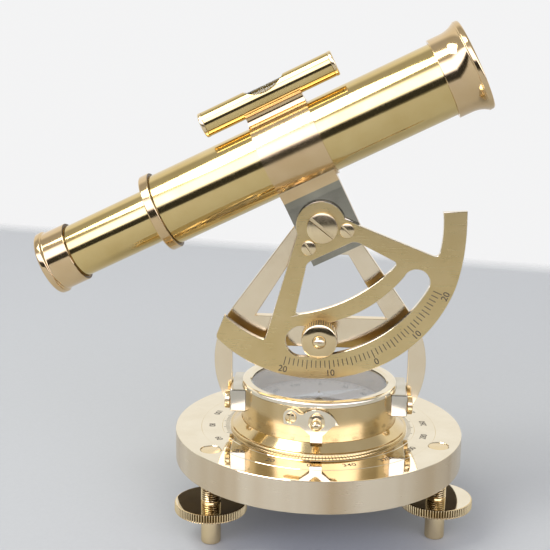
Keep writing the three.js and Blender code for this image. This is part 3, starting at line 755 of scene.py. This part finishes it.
def needle_lock():
    front = SCALE @ at(0, -20) @ ALONG_MINUS_Y
    piece = plate("latch_plate_fine", latch_outline(), [], 12, 0.0, front)
    shell = band(HOUSING_R + 0.1, HOUSING_R + 1.6, 12, 30)
    boolean(piece, [turned("tool", shell, SCALE, True, 288)], "INTERSECT")
    ease_edges(piece, 0.12, 50)
    stands_for(piece, "latch_plate", PALE_POLISHED)

    low, high = span("latch_screw")
    angle = math.degrees(math.atan2((low.x + high.x) / 2, HOUSING_R + 1))
    seat = SCALE @ turn(angle, "Z") @ at(0, -HOUSING_R - 1.65, (low.z + high.z) / 2) @ ALONG_MINUS_Y
    screw = slotted("latch_screw_fine", 1.9, 0.9, 0.5, 80, seat, (0.7, 1.3), 0.3)
    stands_for(screw, "latch_screw", TURNED)

    place = SCALE @ at(0, -HOUSING_R - 1.7, LATCH_Z) @ ALONG_MINUS_Y
    profile = [(0, -1.4), (1, -1.4), (1, 0), (2.7, 0), (2.7, 0.8), (1.5, 1.0), (1.2, 1.5)]
    profile = soften(profile, 0.15) + arc(0, 3.3, 1.95, -50, 62, 14)
    tip = [(0.9, 5.05), (0.85, 5.2), (0.5, 5.32), (0, 5.35)]
    stands_for(turned("latch_knob_fine", profile + tip, place, segments=72), "latch_knob", TURNED)


# ---- A-frame, pivot and clamp ----
FRAME_LOW, FRAME_HIGH = span("support_frame")
FRAME_FACING = SCALE @ at(0, FRAME_HIGH.y, 0) @ ALONG_MINUS_Y
PIVOT_BOSS_R = 7.2
FRAME_HOLE_R = 2.6
PIVOT_HOLE_R = 2.56
CLAMP_HOLE_R = 2.3
SLOT_R = PIVOT_Z - (span("clamp_knob")[0].z + span("clamp_knob")[1].z) / 2
CLAMP_Z = PIVOT_Z - SLOT_R


def frame_outline():
    rise, fall = 35.66, 28.5
    leg, bulge_x, bulge_z, bulge_r = 30.4, 6.3, 34.6, 30.3
    tip = on_circle((bulge_x, bulge_z), bulge_r, -fall)
    half = [(leg, 39.9), (leg, 21)]
    half += curve_through((leg, 21), (leg + 0.2, 19.6), (31.6, 19.4))
    half += curve_through((31.6, 19.4), (32.5, 19.3), tip)
    half += arc(bulge_x, bulge_z, bulge_r, -fall, rise, 40)
    half += arc(0, PIVOT_Z, PIVOT_BOSS_R, rise, 90, 16)
    return half + [(-x, z) for x, z in reversed(half)]


def support_frame():
    slope = 0.613
    bottom, top = ((15 + (62.7 - z) * slope, z) for z in (50.5, 72.6))
    window = [(-bottom[0], bottom[1]), (-top[0], top[1]), top, bottom]
    holes = [window, arc(0, PIVOT_Z, FRAME_HOLE_R, 0, 360, 48), arc(0, CLAMP_Z, CLAMP_HOLE_R, 0, 360, 48)]
    thickness = FRAME_HIGH.y - FRAME_LOW.y
    piece = plate("support_frame_fine", frame_outline(), holes, thickness, 0.25, FRAME_FACING)
    stands_for(piece, "support_frame", SOFT_POLISHED)


def pivot():
    low, high = span("pivot_screw")
    radius = (high.x - low.x) / 2
    seat_y = span("sector_plate")[0].y - 0.1
    seat = SCALE @ at(0, seat_y, PIVOT_Z) @ ALONG_MINUS_Y
    screw = slotted("pivot_screw_fine", radius, seat_y - low.y, 1.3, -38, seat, (2.5, high.y - seat_y), 0.5)
    stands_for(screw, "pivot_screw", TURNED)
    a, b = span("pivot_nut")
    place = SCALE @ at(0, 0, PIVOT_Z) @ turn(-90, "X")
    stands_for(nut("pivot_nut_fine", (b.x - a.x) / 2, FRAME_HOLE_R, a.y, b.y, place), "pivot_nut", TURNED)


def clamp():
    centre = SCALE @ at(0, 0, CLAMP_Z) @ ALONG_MINUS_Y
    low, high = span("clamp_stud")
    tip, back = -low.y, -high.y
    radius = 2.2
    stem = [(0, back), (3.9, back), (3.9, back + 1.4), (radius, back + 1.4)]
    profile = soften(stem, 0.2)
    knob_front = -span("clamp_knob")[0].y
    profile += [(radius, knob_front - 0.5), (radius, knob_front + 0.2)]
    for i in range(1, 13):
        a = math.pi / 2 * i / 12
        profile.append((radius * math.cos(a), knob_front + 0.2 + (tip - knob_front - 0.2) * math.sin(a)))
    profile[-1] = (0, tip)
    stands_for(turned("clamp_stud_fine", profile, centre, segments=72), "clamp_stud", TURNED)

    a, b = span("clamp_bush")
    sleeve = band(CLAMP_HOLE_R, 4, -b.y, -a.y)
    bush = turned("clamp_bush_fine", soften(sleeve, 0.2, closed=True), centre, True, 96)
    stands_for(bush, "clamp_bush", TURNED)

    a, b = span("clamp_knob")
    back, front = -b.y, -a.y
    radius = (b.x - a.x) / 2
    rim = [(2.28, back), (radius - 0.6, back), (radius, back + 0.5), (radius, front - 0.55)]
    rim += [(radius - 0.15, front - 0.22), (radius - 0.5, front), (2.28, front)]
    teeth, depth = 44, 0.45
    shape = knurl(teeth, depth, back + 0.4, front - 0.4)
    piece = turned("clamp_knob_fine", rim, centre, True, teeth * 10, shape)
    stands_for(piece, "clamp_knob", TURNED, sharp=40)
    finish_where(piece, HONEY_POLISHED, lambda polygon: abs(polygon.normal.z) > 0.9)
    darken_gaps(piece, radius, depth)


# ---- elevation sector ----
SECTOR_LOW, SECTOR_HIGH = span("sector_plate", SIGHT)
SECTOR_FACING = SIGHT @ at(0, SECTOR_HIGH.y, 0) @ ALONG_MINUS_Y
SECTOR_T = SECTOR_HIGH.y - SECTOR_LOW.y
TICK_DEGREES = 1.995
RIM_CENTRE = (-2.93, -2.45)
RIM_R = 48.89
INNER_CENTRE = (-2.6, 2.1)
INNER_R = 43.0
SCREW_X, SCREW_Z = 7, -4.3


def sector_outline():
    """The outline with the pivot at (0, 0). Its arcs have centres of their own."""

    def left(t):
        return -9.76 - 0.671 * t, -0.741 * t

    def right(t):
        return 7.26 + 0.675 * t, -0.737 * t

    rim_start = on_circle(RIM_CENTRE, RIM_R, -158.5)
    points = arc(*RIM_CENTRE, RIM_R, -158.5, -45.94, 110)
    points += curve_through(points[-1], (39.19, -29.18), (45.3, -15), 12)[1:]
    points += [(38.1, -12)]
    points += arc(*INNER_CENTRE, INNER_R, -19.1, -37.1, 24)
    points += curve_through(points[-1], (30.5, -25.35), right(32.6))[1:]
    points += [right(1)]
    points += arc(-0.27, 0.53, 8.37, -9.2, 175, 48)
    points += curve_through(left(34.8), (-34.25, -27.05), on_circle(INNER_CENTRE, INNER_R, -139.4))
    points += arc(*INNER_CENTRE, INNER_R, -139.4, -159, 24)[1:]
    points += curve_through((-47.9, -18), (-48.9, -18.9), rim_start, 5)[:-1]
    return points


def sector_slot():
    lower = arc(-4.07, 5.26, 47.49, 243.5, 304.9, 60)
    upper = arc(-2.89, 14.38, 45.72, -62.2, -113.1, 60)
    right = arc(20.5, -29.95, 4.5, -55.1, 117.8, 28)
    left = arc(-22.9, -32.5, 5.35, 66.9, 243.5, 28)
    return lower + right + upper + left


def sector_window():
    points = curve_through((-8, -8.65), (-10.2, -8.7), (-11, -10.5))
    points += curve_through((-19.5, -21.4), (-21.2, -23.5), (-18.9, -23.7))
    points += arc(-3.74, 27.58, 53.48, -106.5, -70.6, 40)
    points += curve_through(points[-1], (18.2, -21.9), (16.6, -20))
    return points + curve_through((9.6, -10.8), (8.2, -8.8), (6.6, -8.65))


def sector():
    holes = [sector_slot(), sector_window(), arc(0, 0, PIVOT_HOLE_R, 0, 360, 48)]
    holes += [arc(side * SCREW_X, SCREW_Z, 1.4, 0, 360, 32) for side in (-1, 1)]
    piece = plate("sector_plate_fine", sector_outline(), holes, SECTOR_T, 0.16, SECTOR_FACING)
    into_row_axes(piece)
    stands_for(piece, "sector_plate", SATIN_FLAT)
    finish_where(piece, PALE_POLISHED, lambda polygon: abs(polygon.normal.y) < 0.98)
    for side, name, angle in ((-1, "left", -82), (1, "right", -70)):
        seat = SIGHT @ at(side * SCREW_X, SECTOR_LOW.y - 0.05, SCREW_Z) @ ALONG_MINUS_Y
        screw = slotted(f"sector_screw_{name}_fine", 2.5, 1.1, 0.7, angle, seat, (1.1, 4), 0.3)
        stands_for(screw, f"sector_screw_{name}", TURNED)


# ---- engraved divisions and numbers ----
def strokes(name, bars, labels, place):
    """Thin black inlays: bars are (place, length, width), and labels are (place, text, height)."""
    parts = bmesh.new()
    thickness = 0.03
    for where, length, width in bars:
        before = len(parts.verts)
        bmesh.ops.create_cube(parts, size=1)
        parts.verts.ensure_lookup_table()
        added = parts.verts[before:]
        bmesh.ops.scale(parts, vec=(width, length, thickness), verts=added)
        bmesh.ops.transform(parts, matrix=where, verts=added)
    texts = []
    for where, text, height in labels:
        font = bpy.data.curves.new("label", "FONT")
        font.body = text
        font.size = height * 1.4
        font.align_x = "CENTER"
        font.align_y = "CENTER"
        font.extrude = thickness / 2
        font.offset = 0.008 * height
        written = bpy.data.objects.new("label", font)
        bpy.context.scene.collection.objects.link(written)
        texts.append((written, where))
    graph = bpy.context.evaluated_depsgraph_get()
    for written, where in texts:
        mesh = bpy.data.meshes.new_from_object(written.evaluated_get(graph))
        mesh.transform(where)
        parts.from_mesh(mesh)
        bpy.data.meshes.remove(mesh)
        bpy.data.objects.remove(written)
    data = bpy.data.meshes.new(name)
    parts.to_mesh(data)
    parts.free()
    return new_object(name, data, place)


def sector_divisions():
    bars, labels = [], []
    centre = at(*RIM_CENTRE)
    for unit in range(-20, 21):
        length = 3.1 if unit % 5 == 0 else 2.5
        where = centre @ turn(0.3 + unit * TICK_DEGREES, "Z") @ at(0, -42.4 - length / 2)
        bars.append((where, length, 0.27))
    for value in (-20, -10, 0, 10, 20):
        where = centre @ turn(0.3 + value * TICK_DEGREES, "Z") @ at(0, -46.95)
        labels.append((where, str(abs(value)), 2.2))
    place = SECTOR_FACING @ at(z=SECTOR_T + 0.005)
    adds_to(into_row_axes(strokes("sector_divisions", bars, labels, place)), "sector_plate", BLACK)


def base_divisions():
    inner, ring_edge = CIRCLES[1], RING_HIGH.x
    bars, labels = [], []
    for i in range(180):
        length = 2.0 if i % 5 == 0 else 1.4
        where = turn(2 * i, "Z") @ at(0, -ring_edge - 0.25 - length / 2)
        bars.append((where, length, 0.22))
    middle = (CIRCLES[0] + inner) / 2
    for i in range(18):
        where = turn(-3 - 20 * i, "Z") @ at(0, -middle)
        labels.append((where, str(20 * i), 2.2))
    place = SCALE @ at(z=BASE_TOP + 0.005)
    adds_to(strokes("base_divisions", bars, labels, place), "base_plate", BLACK)


def dial_print():
    bars, labels = [], []
    radius = DIAL_HIGH.x
    for i in range(72):
        length = 2.0 if i % 2 == 0 else 1.1
        bars.append((turn(5 * i, "Z") @ at(0, radius - 1.2 - length / 2), length, 0.16))
    for i in range(12):
        where = turn(-30 * i, "Z") @ at(0, radius - 5.2)
        labels.append((where, str(30 * i), 1.9))
    place = SCALE @ at(z=DIAL_HIGH.z + 0.02)
    adds_to(strokes("dial_print", bars, labels, place), "compass_dial", BLACK)


# ---- telescope ----
def lengthwise(name, outline, radius, node, material, segments=ROUND):
    """Turns a closed profile of (radius, station) about the tube's axis."""
    piece = turned(name, soften(outline, radius, closed=True), TUBE @ ALONG_X, True, segments)
    return stands_for(piece, node, material)


def reach(node):
    """The outer radius and both ends of a round CAD node on the tube's axis."""
    low, high = span(node, TUBE)
    return (high.z - low.z) / 2, low.x, high.x


def dull_end(piece):
    """Paints shade on the end faces that look towards the objective."""
    finish_where(piece, SHADED_BRASS, lambda polygon: polygon.normal.z > 0.9)


def telescope_bracket():
    low, high = span("telescope_bracket", TUBE)
    tongue_low, tongue_high = -8.5, 11.5
    front, back = -6.45, -2.0
    bottom = low.z
    outer, bore = 13.45, 12.6
    start, end = low.x + 0.1, high.x
    sleeve = turned("telescope_bracket_fine", band(0, outer, start, end), TUBE @ ALONG_X)
    section = [(front, bottom), (back, bottom)]
    root = (SIGHT.translation - TUBE.translation).length / -MM + 10
    section += curve_through((back, root), (back, root + 3.4), (3.5, root + 3.9))
    section += [(3.5, root + 7.4), (-8.2, root + 7.4)]
    section += curve_through((-8.2, root + 5.9), (front - 0.2, root + 2.8), (front, root - 0.6))
    side_on = TUBE @ at(tongue_low) @ turn(90, "Z") @ turn(90, "X")
    tongue = plate("tool", section, [], tongue_high - tongue_low, 0.0, side_on)
    waist = curve_through((-4.6, 12.3), (-2.2, 13.2), (-2.3, 15), 6)
    waist += curve_through((-2.3, 15), (-2.4, 16.2), (-3.3, 17), 6)[1:]
    waist += [(-y, z) for y, z in reversed(waist)]
    above = TUBE @ at(start + 0.2) @ turn(90, "Z") @ turn(90, "X")
    saddle = plate("tool", waist, [], end - start - 0.4, 0.0, above)
    boolean(sleeve, [tongue, saddle], "UNION")
    level_height = (LEVEL.translation - TUBE.translation).length / MM
    cradle = cylinder(4.4, -40, 40, TUBE @ at(z=level_height) @ ALONG_X, 128)
    inside = cylinder(bore, start - 5, end + 5, TUBE @ ALONG_X, ROUND)
    pin = cylinder(PIVOT_HOLE_R, -20, 20, SIGHT @ ALONG_MINUS_Y, 96)
    boolean(sleeve, [inside, cradle, pin])
    ease_edges(sleeve, 0.18, 40)
    into_row_axes(sleeve)
    stands_for(sleeve, "telescope_bracket", SLEEVE_BRASS)

    # The tongue's flat faces carry the painted dark reflection.
    def on_tongue(polygon):
        return abs(polygon.normal.y) > 0.98 and polygon.center.z < (PIVOT_Z + 14) * MM

    finish_where(sleeve, TONGUE_PAINTED_REFLECTION, on_tongue)


def telescope():
    r, start, end = (TUBE_HIGH.z - TUBE_LOW.z) / 2, TUBE_LOW.x, TUBE_HIGH.x
    lengthwise("main_tube_fine", band(11.8, r, start, end), 0.1, "main_tube", TUBE_BRASS)

    outer, a, b = reach("tube_collar")
    step = start - 0.1
    collar = [(9.4, a), (outer - 0.25, a), (outer, a + 0.3), (outer, b - 0.2), (outer - 0.2, b)]
    collar += [(r + 0.06, b), (r + 0.06, step), (9.4, step)]
    dull_end(lengthwise("tube_collar_fine", collar, 0.18, "tube_collar", POLISHED))

    outer, a, b = reach("draw_tube")
    lengthwise("draw_tube_fine", band(8.6, outer, a, b), 0.1, "draw_tube", TUBE_BRASS)

    lip, a, b = reach("eyepiece_cap")
    cap = [(4, a + 0.5), (4.6, a), (lip - 0.5, a), (lip, a + 0.5), (lip, a + 2.2), (10.5, a + 2.65)]
    cap += [(10.45, b), (outer + 0.06, b), (outer + 0.06, a + 6.5)]
    cap += [(9, a + 6.5), (9, a + 1.6), (4, a + 1.6)]
    dull_end(lengthwise("eyepiece_cap_fine", cap, 0.25, "eyepiece_cap", POLISHED))

    rim, a, b = reach("objective_hood")
    body = 13.7
    bell = [(r + 0.06, a), (body, a), (body, a + 4.6)]
    flare = curve_through((body, a + 4.6), (body + 0.1, a + 7.4), (rim - 0.35, a + 9.3), 12)
    lip = [(rim - 0.35, a + 9.45), (rim, a + 9.7), (rim, b - 0.5), (rim - 0.3, b), (rim - 1.0, b)]
    lip += [(12.5, b - 3.2), (12.4, end + 0.2), (r + 0.06, end + 0.2)]
    lengthwise("objective_hood_fine", bell + flare[1:] + lip, 0.2, "objective_hood", POLISHED)

    outer, a, b = reach("objective_ring")
    lengthwise("objective_ring_fine", band(11, outer, a, b), 0.15, "objective_ring", DULL_BRASS)


def lens(node, name):
    """A lens with both faces curved, between the CAD lens's ends."""
    low, high = span(node, TUBE)
    radius = (high.z - low.z) / 2
    middle, half = (low.x + high.x) / 2, (high.x - low.x) / 2
    edge = half * 0.45
    steps = 16
    front = []
    for i in range(steps + 1):
        t = i / steps
        front.append((radius * t, middle - edge - (half - edge) * (1 - t * t)))
    back = [(r, 2 * middle - x) for r, x in reversed(front)]
    piece = turned(name, front + back, TUBE @ ALONG_X, segments=128)
    stands_for(piece, node, CLEAR)


# ---- spirit level ----
def spirit_level():
    start, end = span("level_tube", LEVEL)
    outer = 4.25
    wall = soften(band(outer - 0.5, outer, start.x, end.x), 0.08, closed=True)
    shell = turned("level_tube_fine", wall, LEVEL @ ALONG_X, True, 128)
    cutter_r = 10.15
    middle = (start.x + end.x) / 2
    bite = cylinder(cutter_r, -10, 10, LEVEL @ at(middle, 0, 1.15 + cutter_r) @ ALONG_MINUS_Y, 256)
    boolean(shell, [bite])
    stands_for(shell, "level_tube", TUBE_BRASS)

    for side, name in ((-1, "left"), (1, "right")):
        low, high = span(f"level_cap_{name}", LEVEL)
        out, inner = (low.x, high.x) if side < 0 else (high.x, low.x)
        inward = -side
        step = out + inward * 1.3
        plug = [(0, out), (outer - 0.1, out), (outer + 0.1, out + inward * 0.3), (outer + 0.1, step)]
        plug += [(outer - 0.65, step), (outer - 0.65, inner), (0, inner)]
        cap = turned(f"level_cap_{name}_fine", soften(plug, 0.25), LEVEL @ ALONG_X, segments=128)
        stands_for(cap, f"level_cap_{name}", TURNED)

    low, high = span("level_vial", LEVEL)
    r = (high.y - low.y) / 2
    domes = arc(low.x + r, 0, r, 180, 90, 12)[1:] + arc(high.x - r, 0, r, 90, 0, 12)[:-1]
    glass = [(0, low.x)] + [(y, x) for x, y in domes] + [(0, high.x)]
    vial = turned("level_vial_fine", glass, LEVEL @ ALONG_X, segments=96)
    stands_for(vial, "level_vial", VIAL)


# ---- build ----
base_plate()
for index, foot in enumerate(FEET, 1):
    levelling_stud(index, foot)
    levelling_knob(index)
compass()
needle()
lug(-1, "left")
lug(1, "right")
needle_lock()
support_frame()
pivot()
clamp()
sector()
telescope_bracket()
telescope()
lens("objective_lens", "objective_lens_fine")
lens("eyepiece_lens", "eyepiece_lens_fine")
spirit_level()
sector_divisions()
base_divisions()
dial_print()

for hidden in ("azimuth_pivot", "azimuth_nut", "needle_pivot"):
    frame["nodes"][hidden].data.materials.clear()
    frame["nodes"][hidden].data.materials.append(DULL_BRASS)


# ---- floor, light and camera ----
FLOOR_Z = CAD_BOX[0].z
FLOOR_GREY = (0.448, 0.456, 0.432)
FLOOR_GRAIN = (0.463, 0.471, 0.447)


def floor():
    size = 3.0
    mesh = bpy.data.meshes.new("floor")
    corners = [(x * size, y * size, FLOOR_Z) for x, y in ((-1, -1), (1, -1), (1, 1), (-1, 1))]
    mesh.from_pydata(corners, [], [(0, 1, 2, 3)])
    obj = bpy.data.objects.new("floor", mesh)
    bpy.context.scene.collection.objects.link(obj)
    n = Nodes("floor_paper")
    place = n.place()
    parts = n.add("ShaderNodeSeparateXYZ")
    n.link(place, parts.inputs[0])
    grain = n.noise(place, 900, 4)
    n.link(n.blend(n.ranged(grain, 0, 1), FLOOR_GREY, FLOOR_GRAIN), n.shader.inputs["Base Color"])
    n.shader.inputs["Roughness"].default_value = 0.6
    edge_slope = 0.253
    edge_from, edge_to = 0.445, 0.485
    front_from, front_to = -1.0, -0.8
    skew = n.math("ADD", parts.outputs["Y"], n.math("MULTIPLY", parts.outputs["X"], edge_slope))
    behind = n.ranged(skew, 0, 1, edge_from, edge_to)
    in_front = n.ranged(parts.outputs["Y"], 1, 0, front_from, front_to)
    far = n.math("MAXIMUM", behind, in_front)
    clear = n.add("ShaderNodeBsdfTransparent")
    mix = n.add("ShaderNodeMixShader")
    n.link(far, mix.inputs[0])
    n.link(n.shader.outputs[0], mix.inputs[1])
    n.link(clear.outputs[0], mix.inputs[2])
    n.link(mix.outputs[0], n.tree.nodes["Material Output"].inputs["Surface"])
    mesh.materials.append(n.material)


def studio():
    """A bright surround with soft windows and darker stretches for the brass to reflect."""
    world = bpy.data.worlds.new("studio")
    bpy.context.scene.world = world
    world.use_nodes = True
    tree = world.node_tree
    tree.nodes.clear()
    place = tree.nodes.new("ShaderNodeTexCoord").outputs["Generated"]
    parts = tree.nodes.new("ShaderNodeSeparateXYZ")
    tree.links.new(place, parts.inputs[0])
    tilt = tree.nodes.new("ShaderNodeMath")
    tilt.operation = "ARCTAN2"
    tree.links.new(parts.outputs["Z"], tilt.inputs[0])
    flip = tree.nodes.new("ShaderNodeMath")
    flip.operation = "MULTIPLY"
    flip.inputs[1].default_value = -1
    tree.links.new(parts.outputs["Y"], flip.inputs[0])
    tree.links.new(flip.outputs[0], tilt.inputs[1])
    share = tree.nodes.new("ShaderNodeMath")
    share.operation = "MULTIPLY_ADD"
    share.inputs[1].default_value = 1 / (2 * math.pi)
    share.inputs[2].default_value = 0.5
    tree.links.new(tilt.outputs[0], share.inputs[0])
    ramp = tree.nodes.new("ShaderNodeValToRGB")
    stops = [(-180, 0.9), (-20, 0.5), (-9, 0.3), (-5, 0.04), (11, 0.04), (18, 2.9), (40, 2.9), (50, 0.54)]
    stops += [(115, 0.5), (130, 1.0), (180, 0.98)]
    elements = ramp.color_ramp.elements
    while len(elements) > 1:
        elements.remove(elements[-1])
    for i, (degrees, level) in enumerate(stops):
        position = degrees / 360 + 0.5
        element = elements[0] if i == 0 else elements.new(position)
        element.position = position
        cool = 1.35 if level > 1 else 1.0
        element.color = (level, level * (1 + (cool - 1) * 0.1), level * cool, 1)
    tree.links.new(share.outputs[0], ramp.inputs[0])
    seen = tree.nodes.new("ShaderNodeLightPath")
    mix = tree.nodes.new("ShaderNodeMix")
    mix.data_type = "RGBA"
    mix.inputs["B"].default_value = (0.9, 0.9, 0.905, 1)
    tree.links.new(ramp.outputs[0], mix.inputs["A"])
    tree.links.new(seen.outputs["Is Camera Ray"], mix.inputs["Factor"])
    glow = tree.nodes.new("ShaderNodeBackground")
    tree.links.new(mix.outputs["Result"], glow.inputs["Color"])
    out = tree.nodes.new("ShaderNodeOutputWorld")
    tree.links.new(glow.outputs[0], out.inputs["Surface"])


def softbox(name, location, target, size, watts):
    light = bpy.data.lights.new(name, "AREA")
    light.shape = "RECTANGLE"
    light.size, light.size_y = size
    light.energy = watts
    obj = bpy.data.objects.new(name, light)
    bpy.context.scene.collection.objects.link(obj)
    obj.location = location
    obj.rotation_euler = (Vector(target) - Vector(location)).to_track_quat("-Z", "Y").to_euler()


def camera():
    lens_over_image = 1.95678
    location = (0.00654, -0.35917, 0.14609)
    pitch, yaw, roll = math.radians(-12.77), math.radians(-3.59), math.radians(0.81)
    data = bpy.data.cameras.new("camera")
    data.sensor_width = 36
    data.lens = lens_over_image * data.sensor_width
    data.clip_start, data.clip_end = 0.01, 20
    obj = bpy.data.objects.new("camera", data)
    bpy.context.scene.collection.objects.link(obj)
    forward = Vector((math.sin(yaw) * math.cos(pitch), math.cos(yaw) * math.cos(pitch), math.sin(pitch)))
    right = Vector((math.cos(yaw), -math.sin(yaw), 0))
    up = right.cross(forward)
    axes = Matrix((right, up, -forward)).transposed().to_4x4()
    obj.matrix_world = Matrix.Translation(location) @ axes @ Matrix.Rotation(roll, 4, "Z")
    bpy.context.scene.camera = obj


floor()
studio()
softbox("key_light", (-0.5, -0.3, 0.9), (0, 0, 0.05), (0.5, 0.5), 6)
camera()
bpy.context.scene.view_settings.view_transform = "Standard"
